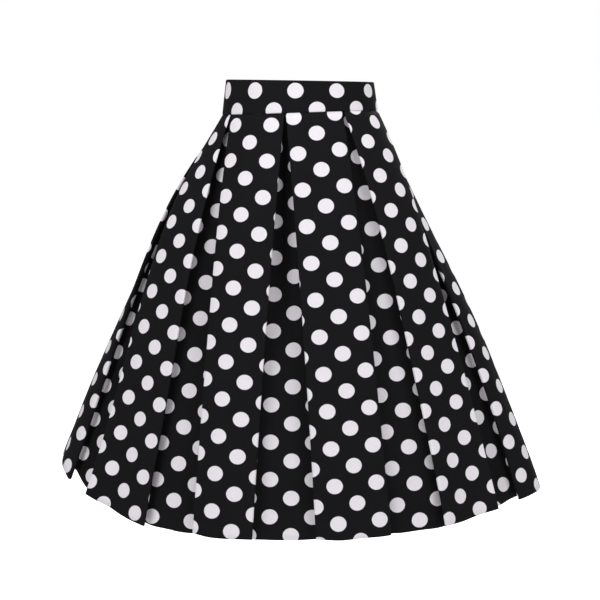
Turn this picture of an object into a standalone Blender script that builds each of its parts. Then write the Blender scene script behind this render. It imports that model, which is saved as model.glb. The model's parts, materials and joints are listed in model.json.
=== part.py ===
# A pleated midi skirt, worn but with no wearer: a waistband, a front and two back
# skirt pieces that are laid in inverted pleats, and a short zip down the centre back.
# Metres, +Z up. The origin is the middle of the waist, halfway up the band.
# Angles run round the waist from centre front (-Y) towards +X, in degrees.

from collections import namedtuple
from math import atan2, cos, degrees, pi, radians, sqrt

import bmesh
import bpy
import numpy as np
from mathutils import Matrix, Vector

# Waistband: half width and half depth of its oval at the top edge and at the seam
BAND_TOP_HALF = (0.119, 0.091)
BAND_SEAM_HALF = (0.1255, 0.096)
BAND_TOP_Z = 0.0225
BAND_SEAM_Z = -0.0275
BAND_TOP_TILT = -0.0020
BAND_SEAM_TILT = 0.0040
BAND_WALL = 0.003
BAND_INSET = 0.0006
BAND_POINTS = 72
BAND_ROWS = 3

# Skirt: its hem oval and its wall
HEM_HALF = (0.398, 0.222)
HEM_CENTRE_Y = 0.006
CLOTH_WALL = 0.0012
SEAM_GAP = 0.0003
FLARE_BOW = 0.22

# How the skirt hangs at some hem angles. length: cut below the seam. hip: how much
# further the flare swells out over the hip there, on top of the even bow.
Hang = namedtuple("Hang", "angle length hip")
HANGS = (
    Hang(-90.0, 0.640, 0.40),
    Hang(-62.0, 0.664, 1.15),
    Hang(-30.0, 0.668, 0.30),
    Hang(0.0, 0.670, 0.0),
    Hang(50.0, 0.673, 0.40),
    Hang(68.0, 0.674, -0.28),
    Hang(110.0, 0.668, -0.28),
    Hang(180.0, 0.655, 0.20),
)
ROW_SHARES = (0.0, 0.055, 0.13, 0.21, 0.30, 0.318, 0.44, 0.58, 0.72, 0.86, 1.0)

# One row for each inverted pleat, in order round the waist.
# waist: where its two fold edges meet at the seam. hem_from, hem_to: where they stand
# at the hem. tuck: how far the cloth runs back under each panel at the seam. lap: how
# far it still does at the hem. depth: how far the underlay lies in at the hem.
# The spreads say how much of the free depth lies between the tuck's two ends.
Pleat = namedtuple("Pleat", "name waist hem_from hem_to tuck lap depth")
PLEATS = (
    Pleat("left_side", -115.0, -73.0, -61.0, 0.020, 0.010, 0.024),
    Pleat("left_front", -63.0, -38.0, -25.2, 0.032, 0.012, 0.028),
    Pleat("centre_front", -10.8, -10.8, 3.6, 0.036, 0.012, 0.030),
    Pleat("right_front", 33.0, 21.2, 35.0, 0.034, 0.012, 0.028),
    Pleat("right_side", 87.0, 54.0, 65.0, 0.020, 0.010, 0.024),
    Pleat("right_back", 117.0, 103.0, 122.0, 0.019, 0.010, 0.027),
    Pleat("inner_right_back", 149.0, 144.0, 159.0, 0.021, 0.012, 0.029),
    Pleat("inner_left_back", 181.0, 186.0, 200.0, 0.021, 0.012, 0.028),
    Pleat("left_back", 213.0, 222.0, 240.0, 0.020, 0.010, 0.027),
)
PANEL_POINTS = 4
WAIST_FOLD_RADIUS = 0.0012
HEM_FOLD_RADIUS = 0.0035
WAIST_MEETING_GAP = 0.0009
SEAM_IN_TUCK = 0.5
WAIST_LAYERS = 4
WAIST_SPREAD = 0.0
HEM_SPREAD = 0.5

# Zip down the centre back
ZIP_WAIST_ANGLE = 165.0
ZIP_HEM_ANGLE = 172.5
ZIP_END_SHARE = 0.30
CHAIN_HALF_WIDTH = 0.0023
CHAIN_WALL = 0.0012
ZIP_GAP = 0.0003
SLIDER_WIDTH = 0.0074
SLIDER_LENGTH = 0.0105
SLIDER_THICK = 0.0024
SLIDER_BELOW_TOP = 0.0085
SLIDER_SHOULDER = 0.55
SLIDER_NOSE = 0.60
SLIDER_TAIL = 0.72
SLIDER_CROWN = 0.84
SLIDER_RIM = 0.70
BAIL_WIDTH = 0.0018
BAIL_LENGTH = 0.0066
BAIL_HEIGHT = 0.0040
BAIL_BAR = 0.0010
PULL_AXIS_HEIGHT = 0.0014
PULL_AXIS_DROP = 0.0012
PULL_BAR_RADIUS = 0.0006
PULL_WIDTH = 0.0056
PULL_LENGTH = 0.0240
PULL_THICK = 0.0012
PULL_WINDOW = (0.0032, 0.0048)
PULL_CORNER = 0.0006
PULL_WAIST = 0.62
PULL_WAIST_ABOVE = 0.0020
PULL_WAIST_BELOW = 0.0050
PULL_TIP = 0.50
PULL_TIP_LENGTH = 0.0030
WINDOW_CUT_DEPTH = 0.0030

COLOURS = {
    "cloth": ((0.012, 0.012, 0.014, 1.0), 0.75, 0.0),
    "zip_tape": ((0.010, 0.010, 0.011, 1.0), 0.80, 0.0),
    "zip_metal": ((0.020, 0.020, 0.022, 1.0), 0.35, 1.0),
}


def clear_scene():
    for old in list(bpy.data.objects):
        bpy.data.objects.remove(old)


def material(name):
    colour, roughness, metallic = COLOURS[name]
    made = bpy.data.materials.new(name)
    made.use_nodes = True
    shader = made.node_tree.nodes["Principled BSDF"]
    shader.inputs["Base Color"].default_value = colour
    shader.inputs["Roughness"].default_value = roughness
    shader.inputs["Metallic"].default_value = metallic
    return made


def object_from(name, mesh_data, finish):
    mesh = bpy.data.meshes.new(name)
    bmesh.ops.recalc_face_normals(mesh_data, faces=mesh_data.faces)
    mesh_data.to_mesh(mesh)
    mesh_data.free()
    made = bpy.data.objects.new(name, mesh)
    bpy.context.scene.collection.objects.link(made)
    mesh.materials.append(material(finish))
    mesh.shade_smooth()
    mesh.set_sharp_from_angle(angle=radians(50))
    return made


class Oval:
    """An ellipse that is measured along its own length, from centre front."""

    def __init__(self, half_width, half_depth, centre_y=0.0):
        self.half = (half_width, half_depth)
        self.centre_y = centre_y
        self.angles = np.linspace(-3 * pi, 3 * pi, 4321)
        along_x = half_width * np.cos(self.angles)
        along_y = half_depth * np.sin(self.angles)
        speed = np.hypot(along_x, along_y)
        steps = (speed[1:] + speed[:-1]) / 2 * np.diff(self.angles)
        self.lengths = np.concatenate([[0.0], np.cumsum(steps)])
        self.lengths -= np.interp(0.0, self.angles, self.lengths)

    def along(self, turn):
        return float(np.interp(radians(turn), self.angles, self.lengths))

    def point(self, along, inward=0.0):
        angle = float(np.interp(along, self.lengths, self.angles))
        half_width, half_depth = self.half
        outward = np.array([np.sin(angle) / half_width, -np.cos(angle) / half_depth])
        outward /= np.linalg.norm(outward)
        on_line = np.array([half_width * np.sin(angle), -half_depth * np.cos(angle)])
        return on_line + np.array([0.0, self.centre_y]) - outward * inward


WAIST = Oval(*BAND_SEAM_HALF)
HEM = Oval(*HEM_HALF, HEM_CENTRE_Y)


def pleat_side(edge, tuck, radius, depth, spread):
    """From a panel's fold edge to the underlay, as (distance from the pleat's middle,
    distance in) pairs. The cloth turns under, runs back, turns again and comes out."""
    back = edge + radius + tuck
    first = 2 * radius
    second = first + spread * (depth - 2 * first)
    third = second + 2 * radius
    return [
        (edge + radius, 0.0),
        (edge, radius),
        (edge + radius, first),
        (edge + radius + tuck * SEAM_IN_TUCK, (first + second) / 2),
        (back, second),
        (back + radius, second + radius),
        (back, third),
    ]


def pleat_points(pleat, turn):
    """The pleat's (waist point, hem point) pairs, in order round the waist.
    turn is the pleat's full turns, so that the last pleat can be met again."""
    waist_middle = WAIST.along(pleat.waist + turn)
    hem_from = HEM.along(pleat.hem_from + turn)
    hem_to = HEM.along(pleat.hem_to + turn)
    hem_middle = (hem_from + hem_to) / 2
    waist_depth = WAIST_LAYERS * WAIST_FOLD_RADIUS
    waist = pleat_side(WAIST_MEETING_GAP, pleat.tuck, WAIST_FOLD_RADIUS, waist_depth, WAIST_SPREAD)
    hem = pleat_side((hem_to - hem_from) / 2, pleat.lap, HEM_FOLD_RADIUS, pleat.depth, HEM_SPREAD)
    waist_middle_in = waist[-1][1]
    before = [
        (WAIST.point(waist_middle - w[0], w[1]), HEM.point(hem_middle - h[0], h[1]))
        for w, h in zip(waist, hem)
    ]
    middle = [(WAIST.point(waist_middle, waist_middle_in), HEM.point(hem_middle, pleat.depth))]
    after = [
        (WAIST.point(waist_middle + w[0], w[1]), HEM.point(hem_middle + h[0], h[1]))
        for w, h in zip(reversed(waist), reversed(hem))
    ]
    return before + middle + after


def panel_points(waist_from, waist_to, hem_from, hem_to, count):
    """Pairs on the plain cloth between two places, without its two ends."""
    shares = np.linspace(0.0, 1.0, count + 2)[1:-1]
    return [
        (
            WAIST.point(waist_from + (waist_to - waist_from) * share),
            HEM.point(hem_from + (hem_to - hem_from) * share),
        )
        for share in shares
    ]


def edge_places(pleat, turn, side):
    """How far along the waist and the hem a pleat's outer fold edge is."""
    waist = WAIST.along(pleat.waist + turn) + side * (WAIST_MEETING_GAP + WAIST_FOLD_RADIUS)
    if side < 0:
        return waist, HEM.along(pleat.hem_from + turn) - HEM_FOLD_RADIUS
    return waist, HEM.along(pleat.hem_to + turn) + HEM_FOLD_RADIUS


def seam_height(x):
    return BAND_SEAM_Z + BAND_SEAM_TILT * x / BAND_SEAM_HALF[0]


def hang_at(hem):
    """The cut length and the hip's extra swell for a thread that ends at this hem point."""
    across = hem[0] / HEM_HALF[0]
    ahead = (HEM_CENTRE_Y - hem[1]) / HEM_HALF[1]
    turn = degrees(atan2(across, ahead))
    rows = list(HANGS) + [HANGS[0]._replace(angle=HANGS[0].angle + 360.0)]
    turn = (turn - rows[0].angle) % 360.0 + rows[0].angle
    for low, high in zip(rows, rows[1:]):
        if turn <= high.angle:
            part = (turn - low.angle) / (high.angle - low.angle)
            part = (1 - cos(pi * part)) / 2
            length = low.length + (high.length - low.length) * part
            return length, low.hip + (high.hip - low.hip) * part
    raise ValueError("the hangs must cover the whole round")


def cloth_line(waist, hem, top_gap=SEAM_GAP / 2):
    """One thread of cloth from the seam to the hem: a point for each row."""
    length, hip = hang_at(hem)
    reach = float(np.linalg.norm(hem - waist))
    drop = sqrt(length**2 - reach**2)
    top = seam_height(waist[0]) - top_gap
    points = []
    for share in ROW_SHARES:
        out = share + FLARE_BOW * share * (1 - share) + hip * share * (1 - share) ** 3
        place = waist + (hem - waist) * out
        points.append((place[0], place[1], top - drop * share))
    return points


def cloth_wall(name, pairs, first_gaps, last_gaps):
    """A closed wall through the pairs. The gaps are how far each row's two ends
    stand back from the seam or the zip."""
    lines = np.array([cloth_line(waist, hem) for waist, hem in pairs])
    rows = lines.transpose(1, 0, 2).copy()
    built = bmesh.new()
    rings = []
    for row, first_gap, last_gap in zip(rows, first_gaps, last_gaps):
        start = row[1] - row[0]
        row[0] += start / np.linalg.norm(start[:2]) * first_gap
        end = row[-2] - row[-1]
        row[-1] += end / np.linalg.norm(end[:2]) * last_gap
        steps = np.diff(row[:, :2], axis=0)
        steps /= np.linalg.norm(steps, axis=1)[:, None]
        before = np.vstack([steps[:1], steps])
        after = np.vstack([steps, steps[-1:]])
        along = before + after
        along /= np.linalg.norm(along, axis=1)[:, None]
        lean = np.einsum("ij,ij->i", along, after)
        away = np.column_stack([along[:, 1], -along[:, 0]]) / lean[:, None]
        away *= CLOTH_WALL / 2
        outer = [built.verts.new((x + dx, y + dy, z)) for (x, y, z), (dx, dy) in zip(row, away)]
        inner = [built.verts.new((x - dx, y - dy, z)) for (x, y, z), (dx, dy) in zip(row, away)]
        rings.append(outer + inner[::-1])
    bridge_rings(built, rings)
    return object_from(name, built, "cloth")


def bridge_rings(built, rings):
    """Joins closed rings of corners into one closed body, with a cap at each end. The
    second half of a ring is the wall's inner side. Both sides of a twisted wall are
    split the same way, or they would pass through each other."""
    count = len(rings[0])
    half = count // 2
    for upper, lower in zip(rings, rings[1:]):
        for i in range(count):
            j = (i + 1) % count
            if i < half:
                built.faces.new((upper[i], upper[j], lower[j]))
                built.faces.new((upper[i], lower[j], lower[i]))
            else:
                built.faces.new((upper[i], upper[j], lower[i]))
                built.faces.new((upper[j], lower[j], lower[i]))
    for ring in (rings[0], rings[-1]):
        for i in range(half - 1):
            j = count - 1 - i
            built.faces.new((ring[i], ring[i + 1], ring[j - 1], ring[j]))


def zip_gap_at(share):
    """Half the opening that the cloth leaves for the zip, or for the plain seam."""
    if share <= ZIP_END_SHARE:
        return CHAIN_HALF_WIDTH + ZIP_GAP
    return SEAM_GAP / 2


def whole_round():
    """All the skirt's pairs, from the zip once round to the zip again, and the places
    of its two side seams in that list."""
    zip_waist = WAIST.along(ZIP_WAIST_ANGLE - 360.0)
    zip_hem = HEM.along(ZIP_HEM_ANGLE - 360.0)
    order = [(pleat, -360.0) for pleat in PLEATS if pleat.waist > ZIP_WAIST_ANGLE]
    order += [(pleat, 0.0) for pleat in PLEATS if pleat.waist < ZIP_WAIST_ANGLE]
    pairs = [(WAIST.point(zip_waist), HEM.point(zip_hem))]
    here = (zip_waist, zip_hem)
    seams = {}
    for pleat, turn in order:
        near = edge_places(pleat, turn, -1)
        pairs += panel_points(here[0], near[0], here[1], near[1], PANEL_POINTS)
        folded = pleat_points(pleat, turn)
        if pleat.name == "left_side":
            seams["left"] = len(pairs) + 3
        if pleat.name == "right_side":
            seams["right"] = len(pairs) + len(folded) - 4
        pairs += folded
        here = edge_places(pleat, turn, 1)
    zip_again = (WAIST.along(ZIP_WAIST_ANGLE), HEM.along(ZIP_HEM_ANGLE))
    pairs += panel_points(here[0], zip_again[0], here[1], zip_again[1], PANEL_POINTS)
    pairs.append((WAIST.point(zip_again[0]), HEM.point(zip_again[1])))
    return pairs, seams


def skirt_pieces():
    pairs, seams = whole_round()
    side = [SEAM_GAP / 2] * len(ROW_SHARES)
    back = [zip_gap_at(share) for share in ROW_SHARES]
    cloth_wall("skirt_back_left", pairs[: seams["left"] + 1], back, side)
    cloth_wall("skirt_front", pairs[seams["left"] : seams["right"] + 1], side, side)
    cloth_wall("skirt_back_right", pairs[seams["right"] :], side, back)


def band_point(share, turn, inward):
    """A point on the band, with share 0 at its top edge and 1 at the seam."""
    halves = [top + (low - top) * share for top, low in zip(BAND_TOP_HALF, BAND_SEAM_HALF)]
    oval = Oval(*halves)
    place = oval.point(oval.along(turn), inward)
    across = place[0] / halves[0]
    top = BAND_TOP_Z + BAND_TOP_TILT * across
    low = seam_height(place[0]) + SEAM_GAP / 2
    return Vector((place[0], place[1], top + (low - top) * share))


def waistband():
    built = bmesh.new()
    rings = []
    for row in range(BAND_ROWS):
        share = row / (BAND_ROWS - 1)
        half_width = BAND_TOP_HALF[0] + (BAND_SEAM_HALF[0] - BAND_TOP_HALF[0]) * share
        opening = np.degrees((CHAIN_HALF_WIDTH + ZIP_GAP) / half_width)
        stops = np.linspace(ZIP_WAIST_ANGLE - 360.0 + opening, ZIP_WAIST_ANGLE - opening, BAND_POINTS)
        outer = [built.verts.new(band_point(share, stop, BAND_INSET - BAND_WALL / 2)) for stop in stops]
        inner = [built.verts.new(band_point(share, stop, BAND_INSET + BAND_WALL / 2)) for stop in stops]
        rings.append(outer + inner[::-1])
    bridge_rings(built, rings)
    return object_from("waistband", built, "cloth")


def zip_line():
    """The zip's middle line, from the band's top edge to the end of its opening."""
    points = [band_point(row / (BAND_ROWS - 1), ZIP_WAIST_ANGLE, 0.0) for row in range(BAND_ROWS)]
    waist = WAIST.point(WAIST.along(ZIP_WAIST_ANGLE))
    hem = HEM.point(HEM.along(ZIP_HEM_ANGLE))
    line = cloth_line(waist, hem)
    points[-1].z -= SEAM_GAP / 2
    for share, place in zip(ROW_SHARES, line):
        if 0.0 < share <= ZIP_END_SHARE:
            points.append(Vector(place))
    return points


def back_directions():
    """Across the zip, and straight out from the cloth, where the zip starts."""
    angle = radians(ZIP_WAIST_ANGLE)
    half_width, half_depth = BAND_SEAM_HALF
    out = Vector((np.sin(angle) / half_width, -np.cos(angle) / half_depth, 0.0)).normalized()
    across = Vector((-out.y, out.x, 0.0))
    return across, out


def zip_chain():
    across, out = back_directions()
    built = bmesh.new()
    rings = []
    for place in zip_line():
        corners = [(-1, 1), (1, 1), (1, -1), (-1, -1)]
        ring = [
            built.verts.new(place + across * CHAIN_HALF_WIDTH * a + out * CHAIN_WALL / 2 * b)
            for a, b in corners
        ]
        rings.append(ring)
    bridge_rings(built, rings)
    return object_from("zip_chain", built, "zip_tape")


def slider_frame():
    """The slider's own frame: X across the zip, Y up along it, Z out from the cloth."""
    across, out = back_directions()
    line = zip_line()
    up = (line[0] - line[1]).normalized()
    out = across.cross(up).normalized() * (1 if across.cross(up).dot(out) > 0 else -1)
    place = line[0] - up * SLIDER_BELOW_TOP
    place += out * (BAND_WALL / 2 - BAND_INSET + ZIP_GAP)
    across = up.cross(out)
    return Matrix(
        (
            (across.x, up.x, out.x, place.x),
            (across.y, up.y, out.y, place.y),
            (across.z, up.z, out.z, place.z),
            (0.0, 0.0, 0.0, 1.0),
        )
    )


def block(built, low, high):
    made = bmesh.ops.create_cube(built, size=1.0)["verts"]
    low, high = Vector(low), Vector(high)
    for corner in made:
        corner.co = Vector([(lo + hi) / 2 + c * (hi - lo) for lo, hi, c in zip(low, high, corner.co)])
    return made


def union(main, extra):
    cutter = main.modifiers.new("join", "BOOLEAN")
    cutter.operation = "UNION"
    cutter.object = extra
    extra.hide_render = True
    extra.display_type = "WIRE"


def zip_slider():
    frame = slider_frame()
    half_width, half_length = SLIDER_WIDTH / 2, SLIDER_LENGTH / 2
    outline = [
        (-half_width, half_length * SLIDER_SHOULDER),
        (-half_width * SLIDER_NOSE, half_length),
        (half_width * SLIDER_NOSE, half_length),
        (half_width, half_length * SLIDER_SHOULDER),
        (half_width * SLIDER_TAIL, -half_length),
        (-half_width * SLIDER_TAIL, -half_length),
    ]
    built = bmesh.new()
    rings = []
    levels = ((0.0, 1.0), (SLIDER_THICK * SLIDER_RIM, 1.0), (SLIDER_THICK, SLIDER_CROWN))
    for height, shrink in levels:
        rings.append([built.verts.new((x * shrink, y * shrink, height)) for x, y in outline])
    bridge_rings(built, rings)
    built.transform(frame)
    slider = object_from("zip_slider", built, "zip_metal")

    bail = bmesh.new()
    half = BAIL_LENGTH / 2
    top = SLIDER_THICK + BAIL_HEIGHT
    sink = SLIDER_THICK / 2
    profile = [
        (-half, sink),
        (-half, top - BAIL_BAR),
        (-half + BAIL_BAR, top),
        (half - BAIL_BAR, top),
        (half, top - BAIL_BAR),
        (half, sink),
        (half - BAIL_BAR, sink),
        (half - BAIL_BAR, top - BAIL_BAR),
        (-half + BAIL_BAR, top - BAIL_BAR),
        (-half + BAIL_BAR, sink),
    ]
    sides = []
    for x in (-BAIL_WIDTH / 2, BAIL_WIDTH / 2):
        sides.append([bail.verts.new((x, y, z)) for y, z in profile])
    count = len(profile)
    for i in range(count):
        j = (i + 1) % count
        bail.faces.new((sides[0][i], sides[0][j], sides[1][j], sides[1][i]))
    bail.faces.new(sides[0])
    bail.faces.new(sides[1][::-1])
    bail.transform(frame)
    bridge = object_from("zip_bail_shape", bail, "zip_metal")
    union(slider, bridge)
    return slider


def zip_pull():
    """A flat tab with a window at its top, whose bar turns inside the slider's bail."""
    frame = slider_frame()
    pivot = Vector((0.0, -PULL_AXIS_DROP, SLIDER_THICK + PULL_AXIS_HEIGHT))
    window_width, window_length = PULL_WINDOW
    half, thick = PULL_WIDTH / 2, PULL_THICK / 2
    top = PULL_BAR_RADIUS
    low = -PULL_LENGTH
    narrow = half * PULL_WAIST
    right_side = [
        (half - PULL_CORNER, top),
        (half, top - PULL_CORNER),
        (half, -window_length - PULL_WAIST_ABOVE),
        (narrow, -window_length - PULL_WAIST_BELOW),
        (half, low + PULL_TIP_LENGTH),
        (half * PULL_TIP, low),
    ]
    outline = right_side + [(-x, y) for x, y in reversed(right_side)]
    built = bmesh.new()
    faces = []
    for z in (-thick, thick):
        faces.append([built.verts.new((x, y, z)) for x, y in outline])
    count = len(outline)
    for i in range(count):
        j = (i + 1) % count
        built.faces.new((faces[0][i], faces[0][j], faces[1][j], faces[1][i]))
    built.faces.new(faces[0])
    built.faces.new(faces[1][::-1])
    built.transform(frame @ Matrix.Translation(pivot))
    pull = object_from("zip_pull", built, "zip_metal")

    hole = bmesh.new()
    block(
        hole,
        (-window_width / 2, -PULL_BAR_RADIUS - window_length, -WINDOW_CUT_DEPTH),
        (window_width / 2, -PULL_BAR_RADIUS, WINDOW_CUT_DEPTH),
    )
    hole.transform(frame @ Matrix.Translation(pivot))
    window = object_from("zip_pull_window", hole, "zip_metal")
    cut = pull.modifiers.new("window", "BOOLEAN")
    cut.operation = "DIFFERENCE"
    cut.object = window
    window.hide_render = True
    window.display_type = "WIRE"
    return pull


clear_scene()
waistband()
skirt_pieces()
zip_chain()
zip_slider()
zip_pull()
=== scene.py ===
import json
from math import cos, degrees, pi, radians, sin

import bpy
import numpy as np
from mathutils import Matrix, Vector

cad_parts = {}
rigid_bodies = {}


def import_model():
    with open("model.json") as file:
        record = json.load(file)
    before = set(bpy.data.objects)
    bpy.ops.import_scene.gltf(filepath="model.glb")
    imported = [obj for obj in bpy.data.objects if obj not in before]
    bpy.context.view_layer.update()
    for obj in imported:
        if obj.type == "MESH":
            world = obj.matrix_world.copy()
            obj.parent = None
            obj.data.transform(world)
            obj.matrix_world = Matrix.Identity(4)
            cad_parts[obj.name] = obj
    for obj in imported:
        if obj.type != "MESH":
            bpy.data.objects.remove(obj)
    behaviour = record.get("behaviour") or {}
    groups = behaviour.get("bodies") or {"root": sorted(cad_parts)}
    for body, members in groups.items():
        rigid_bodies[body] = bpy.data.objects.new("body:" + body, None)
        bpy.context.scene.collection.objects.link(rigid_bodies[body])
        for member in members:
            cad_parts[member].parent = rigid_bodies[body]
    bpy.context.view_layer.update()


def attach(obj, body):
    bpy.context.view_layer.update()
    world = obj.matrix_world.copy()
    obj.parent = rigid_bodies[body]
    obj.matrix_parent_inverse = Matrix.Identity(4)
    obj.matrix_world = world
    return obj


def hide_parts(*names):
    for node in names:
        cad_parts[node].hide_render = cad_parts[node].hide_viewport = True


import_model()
print("frame loaded")

# The skirt's form, the same one that its solids have. Metres; angles run round the
# waist from centre front towards +X, in degrees.
band = {
    "topHalf": (0.119, 0.091),      # half width and half depth of the oval, top edge
    "seamHalf": (0.1255, 0.096),    # the same at the seam
    "topZ": 0.0225,
    "seamZ": -0.0275,
    "topTilt": -0.0020,             # how much higher the edge is at +X than in the middle
    "seamTilt": 0.0040,
    "outside": 0.0009,              # its outer face stands this far out from the cloth
    "wall": 0.0030,
    "cloth": 0.0006,
    "columns": 260,
    "printAcross": 0.0262,          # where its dots fall
    "printUp": -0.0045,
}
skirt = {
    "hemHalf": (0.398, 0.222),
    "hemCentreY": 0.006,
    "seamGap": 0.0003,
    "bow": 0.22,                    # how much the flare swells out over the hips
    "waistRadius": 0.0012,          # the folds' bend at the seam and at the hem
    "hemRadius": 0.0035,
    "waistLayers": 4,               # at the seam a pleat is this many bends deep
    "waistSpread": 0.0,             # the share of the free depth that the tuck spans
    "hemSpread": 0.5,
    "meeting": 0.0009,              # from a pleat's middle to its fold edge, at the seam
    "creaseGrowth": 1.2,            # how late creases, ripples and hollows grow
    "rippleGrowth": 0.8,
    "rippleEase": 0.15,
    "underEase": 1.5,
    "bendPoints": 8,
    "tuckPoints": 5,
    "underPoints": 9,
    "panelPoints": 16,
    "rows": 66,
    "cloth": 0.0006,
    "sewnGap": 0.00002,             # the edges of a sewn seam all but meet
    "hemTurn": 0.018,               # the hem is turned up inside by this much
    "hemStandoff": 0.0007,
}
zipper = {
    "waistAngle": 165.0,
    "hemAngle": 172.5,
    "endShare": 0.30,               # how far down the cloth it ends
    "endRamp": 0.02,
    "edgeGap": 0.0011,              # the folded edges stop this short of the middle
}

# How the skirt hangs at some hem angles: its cut length below the seam, and how much
# further the flare swells out over the hip there.
hangRows = np.array([(-90.0, 0.640, 0.40), (-62.0, 0.664, 1.15), (-30.0, 0.668, 0.30),
                     (0.0, 0.670, 0.0), (50.0, 0.673, 0.40), (68.0, 0.674, -0.28),
                     (110.0, 0.668, -0.28), (180.0, 0.655, 0.20), (270.0, 0.640, 0.40)])

# One row for each inverted pleat. waist: where its fold edges meet at the seam.
# hemFrom, hemTo: where they stand at the hem. tuck and lap: how far the cloth runs
# back under the panels at the seam and at the hem. depth: how far in the underlay lies.
# hollow: how much deeper it lies on the way down. lift: how much higher it ends.
pleatColumns = ("name", "waist", "hemFrom", "hemTo", "tuck", "lap", "depth", "hollow", "lift")
pleatRows = [
    ("leftSide", -115.0, -73.0, -61.0, 0.020, 0.010, 0.024, 0.010, 0.003),
    ("leftFront", -63.0, -38.0, -25.2, 0.032, 0.012, 0.028, 0.014, -0.001),
    ("centreFront", -10.8, -10.8, 3.6, 0.036, 0.012, 0.030, 0.026, -0.001),
    ("rightFront", 33.0, 21.2, 35.0, 0.034, 0.012, 0.028, 0.012, -0.001),
    ("rightSide", 87.0, 54.0, 65.0, 0.020, 0.010, 0.024, 0.010, 0.003),
    ("rightBack", 117.0, 103.0, 122.0, 0.019, 0.010, 0.027, 0.012, 0.006),
    ("innerRightBack", 149.0, 144.0, 159.0, 0.021, 0.012, 0.029, 0.016, 0.006),
    ("innerLeftBack", 181.0, 186.0, 200.0, 0.021, 0.012, 0.028, 0.012, 0.006),
    ("leftBack", 213.0, 222.0, 240.0, 0.020, 0.010, 0.027, 0.012, 0.006),
]
pleats = [dict(zip(pleatColumns, row)) for row in pleatRows]
deepestPleat = max(pleat["depth"] for pleat in pleats)

# The print: white dots on black, every second row set over by half a repeat.
dots = {
    "across": 0.0668,
    "down": 0.0582,
    "radius": 0.0128,
    "squash": 1.09,
    "soft": 0.0005,                 # the blur at a dot's edge, and how ragged it is
    "ragged": 0.0006,
    "raggedScale": 900,
}

# Where the print falls on each panel (named for the pleat before it) and underlay: how
# far the dots are across and down from the piece's middle at the seam, and their turn.
printPlace = {
    "panelAfter": {
        "leftSide": (0.0167, -0.0091, -0.5), "leftFront": (0.0017, -0.0122, -1.5),
        "centreFront": (0.0012, -0.0244, 1.0), "rightFront": (-0.0219, -0.0078, 1.0),
        "rightSide": (0.010, 0.000, 0.0), "rightBack": (0.000, 0.030, 0.0),
        "innerRightBack": (0.0, 0.0, 0.0), "innerLeftBack": (0.012, 0.016, 0.0),
        "leftBack": (0.020, 0.008, 0.0),
    },
    "underlay": {
        "leftSide": (0.0, 0.0, 0.0), "leftFront": (-0.0051, -0.0180, 0.0),
        "centreFront": (-0.0182, -0.0033, -0.5), "rightFront": (0.0125, 0.0171, 0.0),
        "rightSide": (0.0169, 0.0002, 6.0), "rightBack": (0.0, 0.0, 0.0),
        "innerRightBack": (0.010, 0.0, 0.0), "innerLeftBack": (0.0, 0.020, 0.0),
        "leftBack": (0.0, 0.010, 0.0),
    },
}

# Soft ridges (+) and troughs (-) that run down the cloth. at: hem angle. start: how far
# down it begins. width and height at the hem.
creaseColumns = ("at", "start", "width", "height")
creaseRows = [
    (-51.0, 0.05, 0.045, -0.0120),
    (-37.0, 0.05, 0.016, 0.0030),
    (-25.2, 0.20, 0.014, -0.0030),
    (3.6, 0.10, 0.014, -0.0035),
    (21.2, 0.20, 0.016, -0.0040),
    (33.5, 0.05, 0.016, 0.0030),
    (46.0, 0.05, 0.042, -0.0120),
    (65.0, 0.20, 0.018, -0.0050),
    (103.0, 0.15, 0.020, -0.0060),
    (159.0, 0.20, 0.022, -0.0060),
    (200.0, 0.15, 0.020, -0.0070),
    (240.0, 0.10, 0.022, -0.0080),
    (-20.0, 0.40, 0.026, 0.0040),
    (-13.5, 0.55, 0.014, -0.0022),
    (8.5, 0.50, 0.018, 0.0030),
    (15.0, 0.35, 0.024, -0.0030),
    (78.0, 0.35, 0.030, 0.0045),
    (90.0, 0.50, 0.024, -0.0035),
    (132.0, 0.40, 0.028, 0.0040),
    (168.0, 0.45, 0.030, 0.0030),
    (180.0, 0.50, 0.022, -0.0030),
    (210.0, 0.35, 0.028, 0.0040),
    (255.0, 0.40, 0.034, 0.0045),
    (272.0, 0.45, 0.026, -0.0040),
]
creases = [dict(zip(creaseColumns, row)) for row in creaseRows]

# The cloth's slow unevenness: waves round, waves down, size, phase
rippleRows = [(13, 0.6, 0.0011, 0.4), (22, -0.9, 0.0008, 2.1), (37, 1.3, 0.0005, 4.0),
              (5, 1.7, 0.0010, 1.2), (58, -2.1, 0.00025, 3.1)]


ovalPoints = 4321


def measuredOval(half, centreY=0.0):
    # three half turns to each side, so that the cloth can be followed past the zip
    angles = np.linspace(-3 * pi, 3 * pi, ovalPoints)
    speed = np.hypot(half[0] * np.cos(angles), half[1] * np.sin(angles))
    lengths = np.concatenate([[0.0], np.cumsum((speed[1:] + speed[:-1]) / 2 * np.diff(angles))])
    lengths -= np.interp(0.0, angles, lengths)
    return {"half": half, "centreY": centreY, "angles": angles, "lengths": lengths}


def alongOval(oval, angle):
    return float(np.interp(radians(angle), oval["angles"], oval["lengths"]))


def placeOn(oval, along, inward=0.0):
    # the point so far round the oval and so far in from it, and the way out there
    angle = np.interp(along, oval["lengths"], oval["angles"])
    a, b = oval["half"]
    out = np.stack([np.sin(angle) / a, -np.cos(angle) / b], axis=-1)
    out /= np.linalg.norm(out, axis=-1, keepdims=True)
    line = np.stack([a * np.sin(angle), oval["centreY"] - b * np.cos(angle)], axis=-1)
    return line - out * np.asarray(inward)[..., None], out


waistOval = measuredOval(band["seamHalf"])
hemOval = measuredOval(skirt["hemHalf"], skirt["hemCentreY"])
hemRound = alongOval(hemOval, 360)


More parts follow.
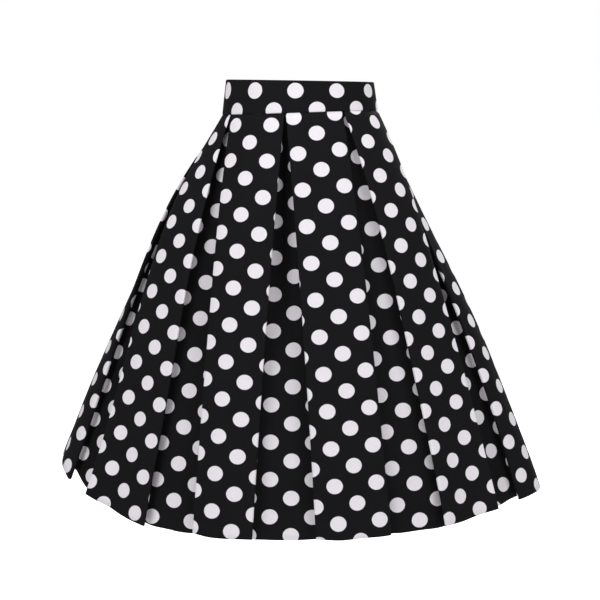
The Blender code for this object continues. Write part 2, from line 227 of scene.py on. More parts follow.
def foldedSide(edge, tuck, radius, depth, spread):
    # (distance from the pleat's middle, distance in) from the fold edge to the middle
    bend = np.linspace(0, pi, skirt["bendPoints"])
    back = edge + radius + tuck
    first = 2 * radius
    second = first + spread * (depth - 2 * first)
    third = second + 2 * radius
    path = [(edge + radius - radius * sin(t), radius - radius * cos(t)) for t in bend]
    for share in np.linspace(0, 1, skirt["tuckPoints"] + 2)[1:-1]:
        path.append((edge + radius + tuck * share, first + (second - first) * share))
    path += [(back + radius * sin(t), second + radius - radius * cos(t)) for t in bend]
    for share in np.linspace(0, 1, skirt["underPoints"] + 1)[1:]:
        sag = share * share * (3 - 2 * share)
        path.append((back * (1 - share), third + (depth - third) * sag))
    return path


# the step in foldedSide that lies halfway along the tuck
middleOfTuck = skirt["bendPoints"] + skirt["tuckPoints"] // 2


def wholeCloth():
    # all the cloth's threads, from the zip once round to the zip again, and which panel or
    # underlay each belongs to. A thread's six values: how far round and how far in it is
    # at the waist, the same at the hem, and its pleat's hollow and lift.
    found, parts, sides = [], [], {}
    order = [(p, -360) for p in pleats if p["waist"] > zipper["waistAngle"]]
    order += [(p, 0) for p in pleats if p["waist"] < zipper["waistAngle"]]
    here = (alongOval(waistOval, zipper["waistAngle"] - 360),
            alongOval(hemOval, zipper["hemAngle"] - 360))
    end = (alongOval(waistOval, zipper["waistAngle"]), alongOval(hemOval, zipper["hemAngle"]))
    found.append((here[0], 0.0, here[1], 0.0, 0.0, 0.0))
    partStart, partName = 0, ("panelAfter", "innerRightBack")

    def addPanel(start, stop):
        for share in np.linspace(0, 1, skirt["panelPoints"] + 2)[1:-1]:
            waist, hem = (a + (b - a) * share for a, b in zip(start, stop))
            found.append((waist, 0.0, hem, 0.0, 0.0, 0.0))

    for pleat, turn in order:
        waist = alongOval(waistOval, pleat["waist"] + turn)
        hemFrom = alongOval(hemOval, pleat["hemFrom"] + turn)
        hemTo = alongOval(hemOval, pleat["hemTo"] + turn)
        hem = (hemFrom + hemTo) / 2
        waistSide = foldedSide(skirt["meeting"], pleat["tuck"], skirt["waistRadius"],
                               skirt["waistLayers"] * skirt["waistRadius"], skirt["waistSpread"])
        hemSide = foldedSide((hemTo - hemFrom) / 2, pleat["lap"], skirt["hemRadius"],
                             pleat["depth"], skirt["hemSpread"])
        addPanel(here, (waist - waistSide[0][0], hem - hemSide[0][0]))
        first = len(found)
        pairs = list(zip(waistSide, hemSide))
        for side, steps in ((-1, pairs), (1, pairs[-2::-1])):
            for (waistAway, waistIn), (hemAway, hemIn) in steps:
                found.append((waist + side * waistAway, waistIn, hem + side * hemAway, hemIn,
                              pleat["hollow"], pleat["lift"]))
        last = len(found) - 1
        parts.append((partStart, first + middleOfTuck, partName))
        parts.append((first + middleOfTuck, last - middleOfTuck, ("underlay", pleat["name"])))
        partStart, partName = last - middleOfTuck, ("panelAfter", pleat["name"])
        if pleat["name"] == "leftSide":
            sides["left"] = first + middleOfTuck
        if pleat["name"] == "rightSide":
            sides["right"] = last - middleOfTuck
        here = (waist + waistSide[0][0], hem + hemSide[0][0])
    addPanel(here, end)
    found.append((end[0], 0.0, end[1], 0.0, 0.0, 0.0))
    parts.append((partStart, len(found) - 1, partName))
    return np.array(found), parts, sides


def seamHeight(x):
    return band["seamZ"] + band["seamTilt"] * x / band["seamHalf"][0]


def creaseHeight(hemAlong, share):
    # how far the creases push the cloth out, for every row and thread
    height = np.zeros((len(share), len(hemAlong)))
    for crease in creases:
        away = hemAlong - alongOval(hemOval, crease["at"])
        away = (away + hemRound / 2) % hemRound - hemRound / 2
        grown = np.clip((share - crease["start"]) / (1 - crease["start"]), 0, 1)
        grown = grown ** skirt["creaseGrowth"]
        shape = np.exp(-(away / crease["width"]) ** 2)
        height += crease["height"] * grown[:, None] * shape[None, :]
    return height


def ripples(hemAlong, share):
    # they grow from nothing at the seam
    turn = 2 * pi * hemAlong / hemRound
    ease = skirt["rippleEase"]
    height = np.zeros((len(share), len(hemAlong)))
    for around, down, size, phase in rippleRows:
        height += size * np.sin(around * turn[None, :] + down * 2 * pi * share[:, None] + phase)
    return height * (share ** skirt["rippleGrowth"] * (1 + ease - ease * share))[:, None]


def hangAt(hem):
    # the cut length and the hip's swell for threads that end at these hem points
    across = hem[:, 0] / skirt["hemHalf"][0]
    ahead = (skirt["hemCentreY"] - hem[:, 1]) / skirt["hemHalf"][1]
    turn = (np.degrees(np.arctan2(across, ahead)) + 90) % 360 - 90
    row = np.clip(np.searchsorted(hangRows[:, 0], turn, side="right") - 1, 0, len(hangRows) - 2)
    low, high = hangRows[row], hangRows[row + 1]
    part = (1 - np.cos(pi * (turn - low[:, 0]) / (high[:, 0] - low[:, 0]))) / 2
    found = low + (high - low) * part[:, None]
    return found[:, 1], found[:, 2]


hollowScale = 27 / 4            # makes share * (1 - share) ** 2 one where it is largest


def clothSurface(threads, share):
    # the cloth's points, [row, thread, xyz]
    waist, waistOut = placeOn(waistOval, threads[:, 0], threads[:, 1])
    hem, hemOut = placeOn(hemOval, threads[:, 2], threads[:, 3])
    reach = np.linalg.norm(hem - waist, axis=1)
    length, hip = hangAt(hem)
    drop = np.sqrt(length ** 2 - reach ** 2)
    top = seamHeight(waist[:, 0]) - skirt["seamGap"] / 2
    swell = share * (1 - share) ** 3
    out = (share + skirt["bow"] * share * (1 - share))[:, None] + swell[:, None] * hip[None, :]
    out = out[:, :, None]
    flat = waist[None] + (hem - waist)[None] * out
    way = waistOut[None] + (hemOut - waistOut)[None] * out
    way /= np.linalg.norm(way, axis=2, keepdims=True)
    under = np.clip(threads[:, 3] / deepestPleat, 0, 1) ** skirt["underEase"]
    deeper = hollowScale * (share * (1 - share) ** 2)[:, None] * (under * threads[:, 4])[None, :]
    push = creaseHeight(threads[:, 2], share) + ripples(threads[:, 2], share) - deeper
    flat = flat + way * push[:, :, None]
    z = top[None, :] - drop[None, :] * share[:, None]
    z = z + (under * threads[:, 5])[None, :] * share[:, None] ** 3
    return np.concatenate([flat, z[:, :, None]], axis=2)


def normalsOf(grid):
    along = np.gradient(grid, axis=1)
    down = np.gradient(grid, axis=0)
    normal = np.cross(down, along)
    return normal / np.linalg.norm(normal, axis=2, keepdims=True)


def printCoordinates(grid, place, guide):
    # unrolls a stretch of cloth from its guide thread, so that the dots stay round
    rows, count = grid.shape[:2]
    normal = normalsOf(grid)
    down = np.gradient(grid, axis=0)
    uv = np.zeros((rows, count, 2))
    steps = np.linalg.norm(np.diff(grid[:, guide], axis=0), axis=1)
    uv[:, guide, 1] = np.concatenate([[0.0], np.cumsum(steps)])
    for way in (1, -1):
        axis = down[:, guide] / np.linalg.norm(down[:, guide], axis=1, keepdims=True)
        here = guide
        while 0 <= here + way < count:
            there = here + way
            step = grid[:, there] - grid[:, here]
            face = normal[:, there]
            new = axis - face * np.einsum("ij,ij->i", axis, face)[:, None]
            new /= np.linalg.norm(new, axis=1, keepdims=True)
            mean = axis + new
            mean /= np.linalg.norm(mean, axis=1, keepdims=True)
            alongStep = np.einsum("ij,ij->i", step, mean)
            acrossStep = np.linalg.norm(step - mean * alongStep[:, None], axis=1) * way
            uv[:, there, 0] = uv[:, here, 0] + acrossStep
            uv[:, there, 1] = uv[:, here, 1] + alongStep
            axis, here = new, there
    c, s = cos(radians(place[2])), sin(radians(place[2]))
    turned = np.stack([uv[:, :, 0] * c - uv[:, :, 1] * s, uv[:, :, 0] * s + uv[:, :, 1] * c], axis=2)
    return turned - np.array(place[:2])


def removeDefaults():
    for o in list(bpy.context.scene.objects):
        if o.type in ("CAMERA", "LIGHT"):
            bpy.data.objects.remove(o)


def deselectAll():
    for o in bpy.context.selected_objects:
        o.select_set(False)


def applyModifiers(piece):
    deselectAll()
    piece.select_set(True)
    bpy.context.view_layer.objects.active = piece
    for m in list(piece.modifiers):
        bpy.ops.object.modifier_apply(modifier=m.name)


def newPiece(name, verts, faces, mats, uvs=None):
    mesh = bpy.data.meshes.new(name)
    mesh.from_pydata([tuple(v) for v in verts], [], [tuple(f) for f in faces])
    if uvs is not None:
        layer = mesh.uv_layers.new(name="printMap")
        layer.data.foreach_set("uv", np.asarray(uvs, np.float32).reshape(-1))
    piece = bpy.data.objects.new(name, mesh)
    bpy.context.scene.collection.objects.link(piece)
    for m in mats:
        mesh.materials.append(m)
    mesh.shade_smooth()
    return piece


def thicken(piece, thickness, offset, insideSlot=0):
    shell = piece.modifiers.new("shell", "SOLIDIFY")
    shell.thickness = thickness
    shell.offset = offset
    shell.material_offset = insideSlot
    applyModifiers(piece)


# Materials

def groupOf(name, inputs, outputs):
    group = bpy.data.node_groups.new(name, "ShaderNodeTree")
    for label, kind, value in inputs:
        socket = group.interface.new_socket(label, in_out="INPUT", socket_type=kind)
        if value is not None:
            socket.default_value = value
    for label, kind in outputs:
        group.interface.new_socket(label, in_out="OUTPUT", socket_type=kind)
    nodes = group.nodes
    return group, nodes.new("NodeGroupInput"), nodes.new("NodeGroupOutput")


def maths(tree, operation, a, b=None, c=None, clamp=False):
    node = tree.nodes.new("ShaderNodeMath")
    node.operation = operation
    node.use_clamp = clamp
    for slot, value in enumerate((a, b, c)):
        if value is None:
            continue
        if isinstance(value, (int, float)):
            node.inputs[slot].default_value = value
        else:
            tree.links.new(value, node.inputs[slot])
    return node.outputs[0]


def noiseOn(tree, vector, scale, detail):
    node = tree.nodes.new("ShaderNodeTexNoise")
    node.inputs["Scale"].default_value = scale
    node.inputs["Detail"].default_value = detail
    tree.links.new(vector, node.inputs["Vector"])
    return node.outputs["Fac"]


def splitXYZ(tree, vector):
    node = tree.nodes.new("ShaderNodeSeparateXYZ")
    tree.links.new(vector, node.inputs[0])
    return node.outputs


def mixColours(tree, share, first, second):
    node = tree.nodes.new("ShaderNodeMix")
    node.data_type = "RGBA"
    tree.links.new(share, node.inputs[0])
    for slot, value in ((6, first), (7, second)):
        if isinstance(value, tuple):
            node.inputs[slot].default_value = value
        else:
            tree.links.new(value, node.inputs[slot])
    return node.outputs[2]


def bumpOn(tree, shader, height, strength, distance):
    node = tree.nodes.new("ShaderNodeBump")
    node.inputs["Strength"].default_value = strength
    node.inputs["Distance"].default_value = distance
    tree.links.new(height, node.inputs["Height"])
    tree.links.new(node.outputs["Normal"], shader.inputs["Normal"])


def dotPrintGroup():
    # 1 inside a dot, 0 on the ground, with a slightly ragged printed edge
    number = "NodeSocketFloat"
    group, start, end = groupOf(
        "dotPrint",
        [("Map", "NodeSocketVector", None), ("Across", number, dots["across"]),
         ("Down", number, dots["down"]), ("Radius", number, dots["radius"]),
         ("Squash", number, dots["squash"]), ("Soft", number, dots["soft"])],
        [("Dot", number)])
    split = splitXYZ(group, start.outputs["Map"])
    noise = noiseOn(group, start.outputs["Map"], dots["raggedScale"], 1)

    def distanceTo(shift):
        found = []
        for axis, pitch in (("X", "Across"), ("Y", "Down")):
            turns = maths(group, "DIVIDE", split[axis], start.outputs[pitch])
            turns = maths(group, "ADD", turns, shift)
            part = maths(group, "SUBTRACT", maths(group, "FRACT", turns), 0.5)
            part = maths(group, "MULTIPLY", part, start.outputs[pitch])
            if axis == "Y":
                part = maths(group, "MULTIPLY", part, start.outputs["Squash"])
            found.append(maths(group, "MULTIPLY", part, part))
        return maths(group, "SQRT", maths(group, "ADD", *found))

    nearest = maths(group, "MINIMUM", distanceTo(0.5), distanceTo(1.0))
    wobble = maths(group, "MULTIPLY", maths(group, "SUBTRACT", noise, 0.5), dots["ragged"])
    nearest = maths(group, "ADD", nearest, wobble)
    inside = maths(group, "SUBTRACT", start.outputs["Radius"], nearest)
    mask = maths(group, "DIVIDE", inside, start.outputs["Soft"])
    mask = maths(group, "ADD", mask, 0.5, clamp=True)
    group.links.new(mask, end.inputs["Dot"])
    return group


# The cloth's threads: how many a metre, and the noises' scale and detail
weave = {
    "threads": 2300.0,
    "fuzz": (260, 4),
    "tone": (9, 3),
    "slub": (120, 2),
    "slubStretch": 14.0,
    "crossingShare": 0.25,
}


def weaveGroup():
    # the cloth's threads as a height, and slow changes of tone over the cloth
    number = "NodeSocketFloat"
    group, start, end = groupOf(
        "clothWeave",
        [("Map", "NodeSocketVector", None), ("Threads", number, weave["threads"])],
        [("Height", number), ("Tone", number), ("Slub", number)])
    links, place = group.links, start.outputs["Map"]
    scaled = group.nodes.new("ShaderNodeVectorMath")
    scaled.operation = "SCALE"
    links.new(place, scaled.inputs[0])
    links.new(start.outputs["Threads"], scaled.inputs["Scale"])
    split = splitXYZ(group, scaled.outputs[0])
    warp, weft = (maths(group, "SINE", maths(group, "MULTIPLY", split[axis], 2 * pi))
                  for axis in ("X", "Y"))
    crossing = maths(group, "MULTIPLY", maths(group, "MULTIPLY", warp, weft),
                     weave["crossingShare"])
    fuzz = maths(group, "MULTIPLY", noiseOn(group, place, *weave["fuzz"]),
                 1 - weave["crossingShare"])
    links.new(maths(group, "ADD", crossing, fuzz), end.inputs["Height"])
    links.new(noiseOn(group, place, *weave["tone"]), end.inputs["Tone"])
    stretch = group.nodes.new("ShaderNodeMapping")
    stretch.inputs["Scale"].default_value = (1.0, weave["slubStretch"], 1.0)
    links.new(place, stretch.inputs["Vector"])
    links.new(noiseOn(group, stretch.outputs[0], *weave["slub"]), end.inputs["Slub"])
    return group


dotPrint = dotPrintGroup()
clothWeave = weaveGroup()


def emptyMaterial(name):
    made = bpy.data.materials.new(name)
    made.use_nodes = True
    return made, made.node_tree, made.node_tree.nodes["Principled BSDF"]


clothLook = {
    "specular": 0.06,
    "sheenRoughness": 0.45,
    "sheenTint": (0.8, 0.8, 0.86, 1),
    "slubRoughness": 0.12,
    "bump": 0.35,
    "bumpDistance": 0.0002,
}


def clothMaterial(name, ground, groundWorn, dot, dotShade, roughness, sheen):
    made, tree, shader = emptyMaterial(name)
    place = tree.nodes.new("ShaderNodeUVMap")
    place.uv_map = "printMap"
    printed = tree.nodes.new("ShaderNodeGroup")
    printed.node_tree = dotPrint
    woven = tree.nodes.new("ShaderNodeGroup")
    woven.node_tree = clothWeave
    for node in (printed, woven):
        tree.links.new(place.outputs["UV"], node.inputs["Map"])
    slub = woven.outputs["Slub"]
    groundColour = mixColours(tree, woven.outputs["Tone"], ground, groundWorn)
    dotColour = mixColours(tree, slub, dot, dotShade)
    colour = mixColours(tree, printed.outputs["Dot"], groundColour, dotColour)
    tree.links.new(colour, shader.inputs["Base Color"])
    rough = maths(tree, "ADD", maths(tree, "MULTIPLY", slub, clothLook["slubRoughness"]), roughness)
    tree.links.new(rough, shader.inputs["Roughness"])
    shader.inputs["Specular IOR Level"].default_value = clothLook["specular"]
    shader.inputs["Sheen Weight"].default_value = sheen
    shader.inputs["Sheen Roughness"].default_value = clothLook["sheenRoughness"]
    shader.inputs["Sheen Tint"].default_value = clothLook["sheenTint"]
    bumpOn(tree, shader, woven.outputs["Height"], clothLook["bump"], clothLook["bumpDistance"])
    return made


printedCloth = clothMaterial("printedCloth", (0.0050, 0.0049, 0.0056, 1), (0.0085, 0.0083, 0.0095, 1),
                             (0.78, 0.75, 0.79, 1), (0.62, 0.59, 0.63, 1), 0.72, 0.008)
wrongSide = clothMaterial("wrongSide", (0.016, 0.016, 0.017, 1), (0.023, 0.023, 0.024, 1),
                          (0.34, 0.33, 0.35, 1), (0.28, 0.27, 0.29, 1), 0.82, 0.012)


plainLook = {"detail": 3, "stray": 0.1, "bump": 0.3}     # stray: of the roughness, either way


def plainMaterial(name, colour, colourWorn, roughness, metallic, noiseScale, bumpDistance):
    made, tree, shader = emptyMaterial(name)
    place = tree.nodes.new("ShaderNodeTexCoord")
    noise = noiseOn(tree, place.outputs["Object"], noiseScale, plainLook["detail"])
    tree.links.new(mixColours(tree, noise, colour, colourWorn), shader.inputs["Base Color"])
    strayed = maths(tree, "MULTIPLY", noise, 2 * plainLook["stray"])
    rough = maths(tree, "ADD", strayed, roughness - plainLook["stray"])
    tree.links.new(rough, shader.inputs["Roughness"])
    shader.inputs["Metallic"].default_value = metallic
    bumpOn(tree, shader, noise, plainLook["bump"], bumpDistance)
    return made


tapeCloth = plainMaterial("tapeCloth", (0.012, 0.012, 0.013, 1), (0.022, 0.022, 0.024, 1),
                          0.80, 0.0, 1800, 0.0001)
coilNylon = plainMaterial("coilNylon", (0.016, 0.016, 0.017, 1), (0.026, 0.026, 0.028, 1),
                          0.45, 0.0, 900, 0.00005)
blackLacquer = plainMaterial("blackLacquer", (0.020, 0.020, 0.021, 1), (0.055, 0.054, 0.052, 1),
                             0.34, 0.6, 500, 0.00004)
blackThread = plainMaterial("blackThread", (0.016, 0.016, 0.017, 1), (0.030, 0.030, 0.032, 1),
                            0.70, 0.0, 2600, 0.00005)
print("materials made")


# The skirt's three pieces of cloth

threads, islands, seams = wholeCloth()
lastThread = len(threads) - 1
shares = np.linspace(0, 1, skirt["rows"])
wholeGrid = clothSurface(threads, shares)
printMaps = {}
for first, last, (kind, pleatName) in islands:
    guide = (last - first) // 2     # the print runs straight down this thread
    if first == 0:
        guide = 0
    if last == lastThread:
        guide = last - first
    printMaps[(first, last)] = printCoordinates(wholeGrid[:, first:last + 1],
                                                printPlace[kind][pleatName], guide)

turnUp = {
    "shares": (0.0, 0.35, 0.7, 1.0),    # the turned-up cloth's lines, from the fold to its edge
    "foldDrop": 0.6,                    # how far the fold itself hangs, as a share of the standoff
    "printStart": 0.001,
}


def zipEdge(share):
    # half the opening at the centre back, down to the plain seam below the zip
    ramp = np.clip((share - zipper["endShare"]) / zipper["endRamp"], 0, 1)
    return zipper["edgeGap"] * (1 - ramp) + skirt["sewnGap"] * ramp


def pullIn(grid, edge, beside, gaps):
    # draws a piece's last thread back from the seam or the zip
    way = grid[:, beside] - grid[:, edge]
    way /= np.linalg.norm(way, axis=1, keepdims=True)
    grid[:, edge] += way * gaps[:, None]


def turnedHem(grid, rowLength):
    # the hem's fold, then the turned-up cloth inside
    normal, lastRow = normalsOf(grid), len(grid) - 1
    fold = grid[-1] - normal[-1] * skirt["hemStandoff"] / 2
    fold[:, 2] -= skirt["hemStandoff"] * turnUp["foldDrop"]
    lines = [fold]
    for share in turnUp["shares"]:
        place = lastRow - skirt["hemTurn"] * share / rowLength
        above = int(place)
        below = min(above + 1, lastRow)
        mix = place - above
        line = grid[above] * (1 - mix) + grid[below] * mix
        face = normal[above] * (1 - mix) + normal[below] * mix
        lines.append(line - face * skirt["hemStandoff"])
    return np.array(lines)


def printedFaces(first, last, rowCount):
    # the piece's faces and the print at their corners; it runs on over the turned-up hem
    wide = last - first + 1
    extra = len(turnUp["shares"]) + 1
    onward = np.linspace(turnUp["printStart"], skirt["hemTurn"], extra)
    faces, uvs = [], []
    for (islandFirst, islandLast), island in printMaps.items():
        start, stop = max(islandFirst, first), min(islandLast, last)
        if start >= stop:
            continue
        part = island[:, start - islandFirst:stop - islandFirst + 1]
        tail = np.repeat(part[-1:], extra, axis=0)
        tail[:, :, 1] += onward[:, None]
        uv = np.concatenate([part, tail])
        for row in range(rowCount - 1):
            for k in range(stop - start):
                a = row * wide + start - first + k
                faces.append((a, a + wide, a + wide + 1, a + 1))
                uvs += [uv[row, k], uv[row + 1, k], uv[row + 1, k + 1], uv[row, k + 1]]
    return faces, uvs


def clothPiece(name, first, last, firstGap, lastGap):
    grid = wholeGrid[:, first:last + 1].copy()
    pullIn(grid, 0, 1, firstGap)
    pullIn(grid, -1, -2, lastGap)
    length = np.linalg.norm(np.diff(grid, axis=0), axis=2).sum(axis=0).mean()
    full = np.concatenate([grid, turnedHem(grid, length / (len(grid) - 1))])
    faces, uvs = printedFaces(first, last, len(full))
    piece = newPiece(name, full.reshape(-1, 3), faces, [printedCloth, wrongSide], uvs)
    thicken(piece, skirt["cloth"], -1, 1)
    waistWidth = np.linalg.norm(np.diff(grid[0], axis=0), axis=1).sum()
    hemWidth = np.linalg.norm(np.diff(grid[-1], axis=0), axis=1).sum()
    length += skirt["hemTurn"]
    print(name, "cut", round(waistWidth, 3), round(hemWidth, 3), round(length, 3))
    return piece, (hemWidth, length), (waistWidth + hemWidth) / 2 * length


sideGap = np.full(skirt["rows"], skirt["sewnGap"])
backGap = zipEdge(shares)
clothPieces = {
    "skirt_back_left": clothPiece("skirtBackLeft", 0, seams["left"], backGap, sideGap),
    "skirt_front": clothPiece("skirtFront", seams["left"], seams["right"], sideGap, sideGap),
    "skirt_back_right": clothPiece("skirtBackRight", seams["right"], lastThread, sideGap, backGap),
}
for node, (piece, flat, area) in clothPieces.items():
    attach(piece, "skirt")
    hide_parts(node)
print("skirt made")


# The waistband: one strip folded along its top edge, open at the zip

bandFold = {
    "edgeIn": (0.0008, 0.0002),     # how far its lower edge turns in, and just above that
    "edgeUp": 0.0004,
    "insideEdge": 0.0003,
    "straightTo": 0.97,             # its faces are straight down to this share
    "straightFrom": 1.4,            # from so many half walls down
    "crown": 1.2,                   # the fold's height in half walls
    "outerPoints": 12,
    "foldPoints": 9,
    "innerPoints": 9,
}


def bandPlace(share, angle, out):
    # share 0 at the top edge, 1 at the seam; out is measured from the cloth's face
    half = [a + (b - a) * share for a, b in zip(band["topHalf"], band["seamHalf"])]
    turn = radians(angle)
    way = Vector((sin(turn) / half[0], -cos(turn) / half[1], 0)).normalized()
    x, y = half[0] * sin(turn), -half[1] * cos(turn)
    top = band["topZ"] + band["topTilt"] * x / half[0]
    low = seamHeight(x) + skirt["seamGap"] / 2
    return Vector((x, y, top + (low - top) * share)) + way * out


def bandProfile():
    # the strip's middle surface: up the outside, over the fold, down the inside
    height = band["topZ"] - band["seamZ"]
    outer = band["outside"] - band["cloth"] / 2
    inner = outer - band["wall"] + band["cloth"]
    middle, roll = (outer + inner) / 2, (outer - inner) / 2
    straightFrom = bandFold["straightFrom"] * roll / height
    crown = bandFold["crown"] * roll / height
    lowest, above = bandFold["edgeIn"]
    profile = [(1.0, outer - lowest), (1.0 - bandFold["edgeUp"] / height, outer - above)]
    for share in np.linspace(bandFold["straightTo"], straightFrom, bandFold["outerPoints"]):
        profile.append((share, outer))
    for t in np.linspace(0, pi, bandFold["foldPoints"])[1:-1]:
        profile.append((crown * (1 - sin(t)), middle + roll * cos(t)))
    for share in np.linspace(straightFrom, bandFold["straightTo"], bandFold["innerPoints"]):
        profile.append((share, inner))
    profile.append((1.0, inner + bandFold["insideEdge"]))
    return profile


def makeBand():
    profile = bandProfile()
    opening = degrees(zipper["edgeGap"] / band["topHalf"][0])
    stops = np.linspace(zipper["waistAngle"] - 360 + opening, zipper["waistAngle"] - opening,
                        band["columns"])
    count = len(profile)
    guide = count // 3              # a line round the outer face, where the print is true
    grid = np.array([[bandPlace(share, stop, out) for share, out in profile] for stop in stops])
    around = np.linalg.norm(np.diff(grid[:, guide], axis=0), axis=1)
    around = np.concatenate([[0.0], np.cumsum(around)])
    around -= np.interp(0.0, stops, around) + band["printAcross"]
    down = np.concatenate([[0.0], np.cumsum(np.linalg.norm(np.diff(grid[0], axis=0), axis=1))])
    down = down + band["printUp"]
    faces, uvs = [], []
    for k in range(len(stops) - 1):
        for i in range(count - 1):
            a = k * count + i
            faces.append((a, a + count, a + count + 1, a + 1))
            uvs += [(around[k], down[i]), (around[k + 1], down[i]),
                    (around[k + 1], down[i + 1]), (around[k], down[i + 1])]
    piece = newPiece("waistbandCloth", grid.reshape(-1, 3), faces, [printedCloth, wrongSide], uvs)
    thicken(piece, band["cloth"], 0, 1)
    return piece, around[-1] - around[0], down[-1] - down[0]


waistband, bandLength, bandCut = makeBand()
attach(waistband, "skirt")
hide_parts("waistband")
print("waistband made")


# The zip: a strip of tape behind the opening, the closed coil, and the stitches beside it

backLine = (wholeGrid[:, 0] + wholeGrid[:, -1]) / 2
backPoints = [Vector(point) for point in backLine]
backStep = float(np.linalg.norm(np.diff(backLine, axis=0), axis=1).mean())
zipTurn = radians(zipper["waistAngle"])
zipOut = Vector((sin(zipTurn) / band["seamHalf"][0], -cos(zipTurn) / band["seamHalf"][1], 0)).normalized()
zipAcross = Vector((-zipOut.y, zipOut.x, 0))
zipLength = (band["topZ"] - band["seamZ"]) + zipper["endShare"] * backStep * (skirt["rows"] - 1)


def zipPoint(down, out):
    # down is measured along the zip from the band's top edge
    bandTop, bandSeam = (bandPlace(share, zipper["waistAngle"], 0) for share in (0, 1))
    bandDown = (bandTop - bandSeam).length
    if down <= bandDown:
        place = bandPlace(down / bandDown, zipper["waistAngle"], 0)
    else:
        row = (down - bandDown) / backStep
        low = min(int(row), len(backPoints) - 2)
        place = backPoints[low].lerp(backPoints[low + 1], row - low)
    return place + zipOut * out


beside = {"bandShares": (0.02, 0.5, 0.98), "threads": 12}


def besideZip(across, bandOut, clothOut):
    # a line down the band and the cloth, so far beside the zip and so far out from them
    side, away = (1 if across >= 0 else -1), abs(across)
    angle = zipper["waistAngle"] + side * degrees(away / band["seamHalf"][0])
    line = [bandPlace(share, angle, bandOut) for share in beside["bandShares"]]
    near = slice(0, beside["threads"]) if side > 0 else slice(-1, -beside["threads"] - 1, -1)
    outward = normalsOf(wholeGrid)[:, near]
    for points, out in zip(wholeGrid[:, near], outward):
        reach = np.cumsum(np.linalg.norm(np.diff(points, axis=0), axis=1))
        step = int(np.searchsorted(reach, away)) + 1
        before = reach[step - 2] if step > 1 else 0.0
        share = (away - before) / (reach[step - 1] - before)
        spot = points[step - 1] * (1 - share) + points[step] * share
        line.append(Vector(spot + out[step] * clothOut))
    reach = np.concatenate([[0.0], np.cumsum([(b - a).length for a, b in zip(line, line[1:])])])
    return line, reach


def alongLine(found, down):
    line, reach = found
    k = min(int(np.searchsorted(reach, down, side="right")) - 1, len(line) - 2)
    return line[k].lerp(line[k + 1], (down - reach[k]) / (reach[k + 1] - reach[k]))


tape = {
    "half": 0.0110,
    "thick": 0.0004,
    "inward": 0.0012,
    "start": 0.001,                 # from the band's top edge
    "length": zipLength - 0.003,
    "lines": 7,
    "steps": 70,
}


def makeTape():
    inward, wide, steps = tape["inward"], tape["lines"], tape["steps"]
    lines = [besideZip(across, -inward, -inward)
             for across in np.linspace(-tape["half"], tape["half"], wide)]
    verts, faces = [], []
    for k in range(steps + 1):
        down = tape["start"] + tape["length"] * k / steps
        verts += [alongLine(line, down) for line in lines]
    for k in range(steps):
        for i in range(wide - 1):
            a = wide * k + i
            faces.append((a, a + wide, a + wide + 1, a + 1))
    piece = newPiece("zipTape", verts, faces, [tapeCloth])
    thicken(piece, tape["thick"], -1)
    return piece


def makeBars(name, bars, sides, radius, material):
    # short round bars, all in one mesh; each has its place, its turn and its length
    deselectAll()
    piece = None
    for place, turn, length in bars:
        bpy.ops.mesh.primitive_cylinder_add(vertices=sides, radius=radius, depth=length,
                                            location=place, rotation=turn)
        if piece is None:
            piece = bpy.context.object
            piece.name = name
            bpy.ops.object.transform_apply(location=True, rotation=True, scale=True)
            bpy.ops.object.mode_set(mode="EDIT")
    bpy.ops.object.mode_set(mode="OBJECT")
    piece.data.materials.clear()
    piece.data.materials.append(material)
    return piece


coil = {
    "start": 0.013,                 # below the slider
    "stop": 0.003,                  # short of the zip's end
    "pitch": 0.0014,
    "inward": 0.0004,
    "length": 0.00225,
    "radius": 0.000442,
    "sides": 8,
    "leanFrom": 0.10,               # it leans as the zip does between these two places
    "leanTo": 0.16,
}


def makeTeeth():
    # one bar for each turn of the coil
    lean = (zipPoint(coil["leanFrom"], 0) - zipPoint(coil["leanTo"], 0)).normalized()
    turn = Matrix((zipAcross.cross(lean), lean, zipAcross)).transposed().to_euler()
    bars = []
    for k in range(int((zipLength - coil["start"] - coil["stop"]) / coil["pitch"])):
        place = zipPoint(coil["start"] + k * coil["pitch"], -coil["inward"])
        bars.append((place, turn, coil["length"]))
    return makeBars("zipCoil", bars, coil["sides"], coil["radius"], coilNylon)


stitch = {
    "away": 0.0065,                 # from the zip's middle
    "start": 0.0005,
    "past": 0.004,                  # below the zip's end
    "length": 0.0024,
    "pitch": 0.0031,
    "out": 0.00012,
    "radius": 0.00022,
    "sides": 6,
    "acrossShares": (0.15, 0.85),
}


def makeStitches():
    # topstitching down both sides of the zip, and across below its end
    runs, ends = [], []
    for side in (-1, 1):
        line = besideZip(side * stitch["away"], band["outside"] + stitch["out"], stitch["out"])
        down = stitch["start"]
        while down < zipLength + stitch["past"]:
            runs.append((alongLine(line, down), alongLine(line, down + stitch["length"])))
            down += stitch["pitch"]
        ends.append(alongLine(line, down))
    count = int((ends[1] - ends[0]).length / stitch["pitch"])
    out = zipOut * stitch["out"] * 2
    for k in range(count):
        runs.append([ends[0].lerp(ends[1], (k + share) / count) + out
                     for share in stitch["acrossShares"]])
    bars = []
    for first, second in runs:
        along = (second - first).normalized()
        face = zipOut.cross(along).normalized()
        turn = Matrix((face, along.cross(face), along)).transposed().to_euler()
        bars.append(((first + second) / 2, turn, (second - first).length))
    return makeBars("zipStitches", bars, stitch["sides"], stitch["radius"], blackThread)


zipTape, zipCoil, zipStitches = makeTape(), makeTeeth(), makeStitches()
for piece in (zipTape, zipCoil, zipStitches):
    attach(piece, "skirt")
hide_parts("zip_chain")
for node in ("zip_slider", "zip_pull"):
    for slot in bpy.data.objects[node].material_slots:
        slot.material = blackLacquer
print("zip made")


# Floor, light and camera

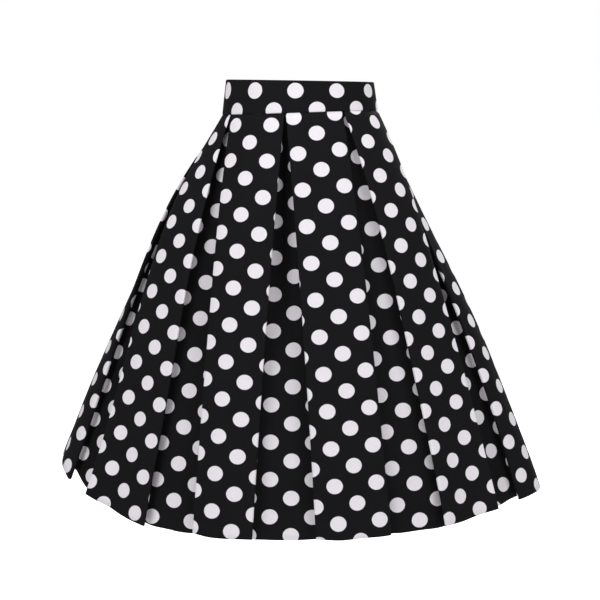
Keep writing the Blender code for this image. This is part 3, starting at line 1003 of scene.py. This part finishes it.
studio = {
    "floorZ": -1.06,
    "floorSize": 120,
    "paper": (0.92, 0.92, 0.92, 1),
    "paperRoughness": 0.95,
    "paperGlow": 0.75,              # as the camera sees it, and as it lights the skirt
    "paperLight": 0.15,
    "white": 1.0,                   # the same two for the backdrop
    "ambient": 0.30,
    "cameraY": -3.0,
    "pitch": 6.37,
    "lens": 110.2,
    "sensor": 36,
    "aimZ": -0.10,
}
lampRows = [                        # name, place, power, size
    ("keyLight", (-1.00, -1.50, 1.55), 37, 0.9),
    ("fillLight", (1.30, -1.60, 1.50), 31, 1.1),
    ("topLight", (0.0, 0.4, 2.4), 26, 2.2),
    ("backLight", (0.9, 2.2, 1.5), 46, 1.2),
]


def seenOrLighting(tree, seen, lighting):
    # one level for what the camera sees and another for the light that it gives
    rays = tree.nodes.new("ShaderNodeLightPath")
    return maths(tree, "MULTIPLY_ADD", rays.outputs["Is Camera Ray"], seen - lighting, lighting)


def makeFloor():
    deselectAll()
    bpy.ops.mesh.primitive_plane_add(size=studio["floorSize"], location=(0, 0, studio["floorZ"]))
    floor = bpy.context.object
    floor.name = "studioFloor"
    made, tree, shader = emptyMaterial("palePaper")
    shader.inputs["Base Color"].default_value = studio["paper"]
    shader.inputs["Roughness"].default_value = studio["paperRoughness"]
    shader.inputs["Emission Color"].default_value = (1, 1, 1, 1)
    glow = seenOrLighting(tree, studio["paperGlow"], studio["paperLight"])
    tree.links.new(glow, shader.inputs["Emission Strength"])
    floor.data.materials.append(made)


def makeBackdrop():
    world = bpy.data.worlds.new("studio")
    bpy.context.scene.world = world
    world.use_nodes = True
    tree = world.node_tree
    backdrop = tree.nodes["Background"]
    backdrop.inputs[0].default_value = (1, 1, 1, 1)
    tree.links.new(seenOrLighting(tree, studio["white"], studio["ambient"]), backdrop.inputs[1])
    bpy.context.scene.view_settings.view_transform = "Standard"


def makeLamps():
    for name, place, power, size in lampRows:
        data = bpy.data.lights.new(name, "AREA")
        data.energy = power
        data.size = size
        lamp = bpy.data.objects.new(name, data)
        bpy.context.scene.collection.objects.link(lamp)
        lamp.location = place
        aim = Vector((0, 0, studio["aimZ"])) - Vector(place)
        lamp.rotation_euler = aim.to_track_quat("-Z", "Y").to_euler()


def makeCamera():
    data = bpy.data.cameras.new("view")
    data.lens = studio["lens"]
    data.sensor_width = studio["sensor"]
    camera = bpy.data.objects.new("view", data)
    bpy.context.scene.collection.objects.link(camera)
    camera.location = (0, studio["cameraY"], 0)
    camera.rotation_euler = (radians(90 - studio["pitch"]), 0, 0)
    bpy.context.scene.camera = camera


removeDefaults()
makeFloor()
makeBackdrop()
makeLamps()
makeCamera()
print("studio made")
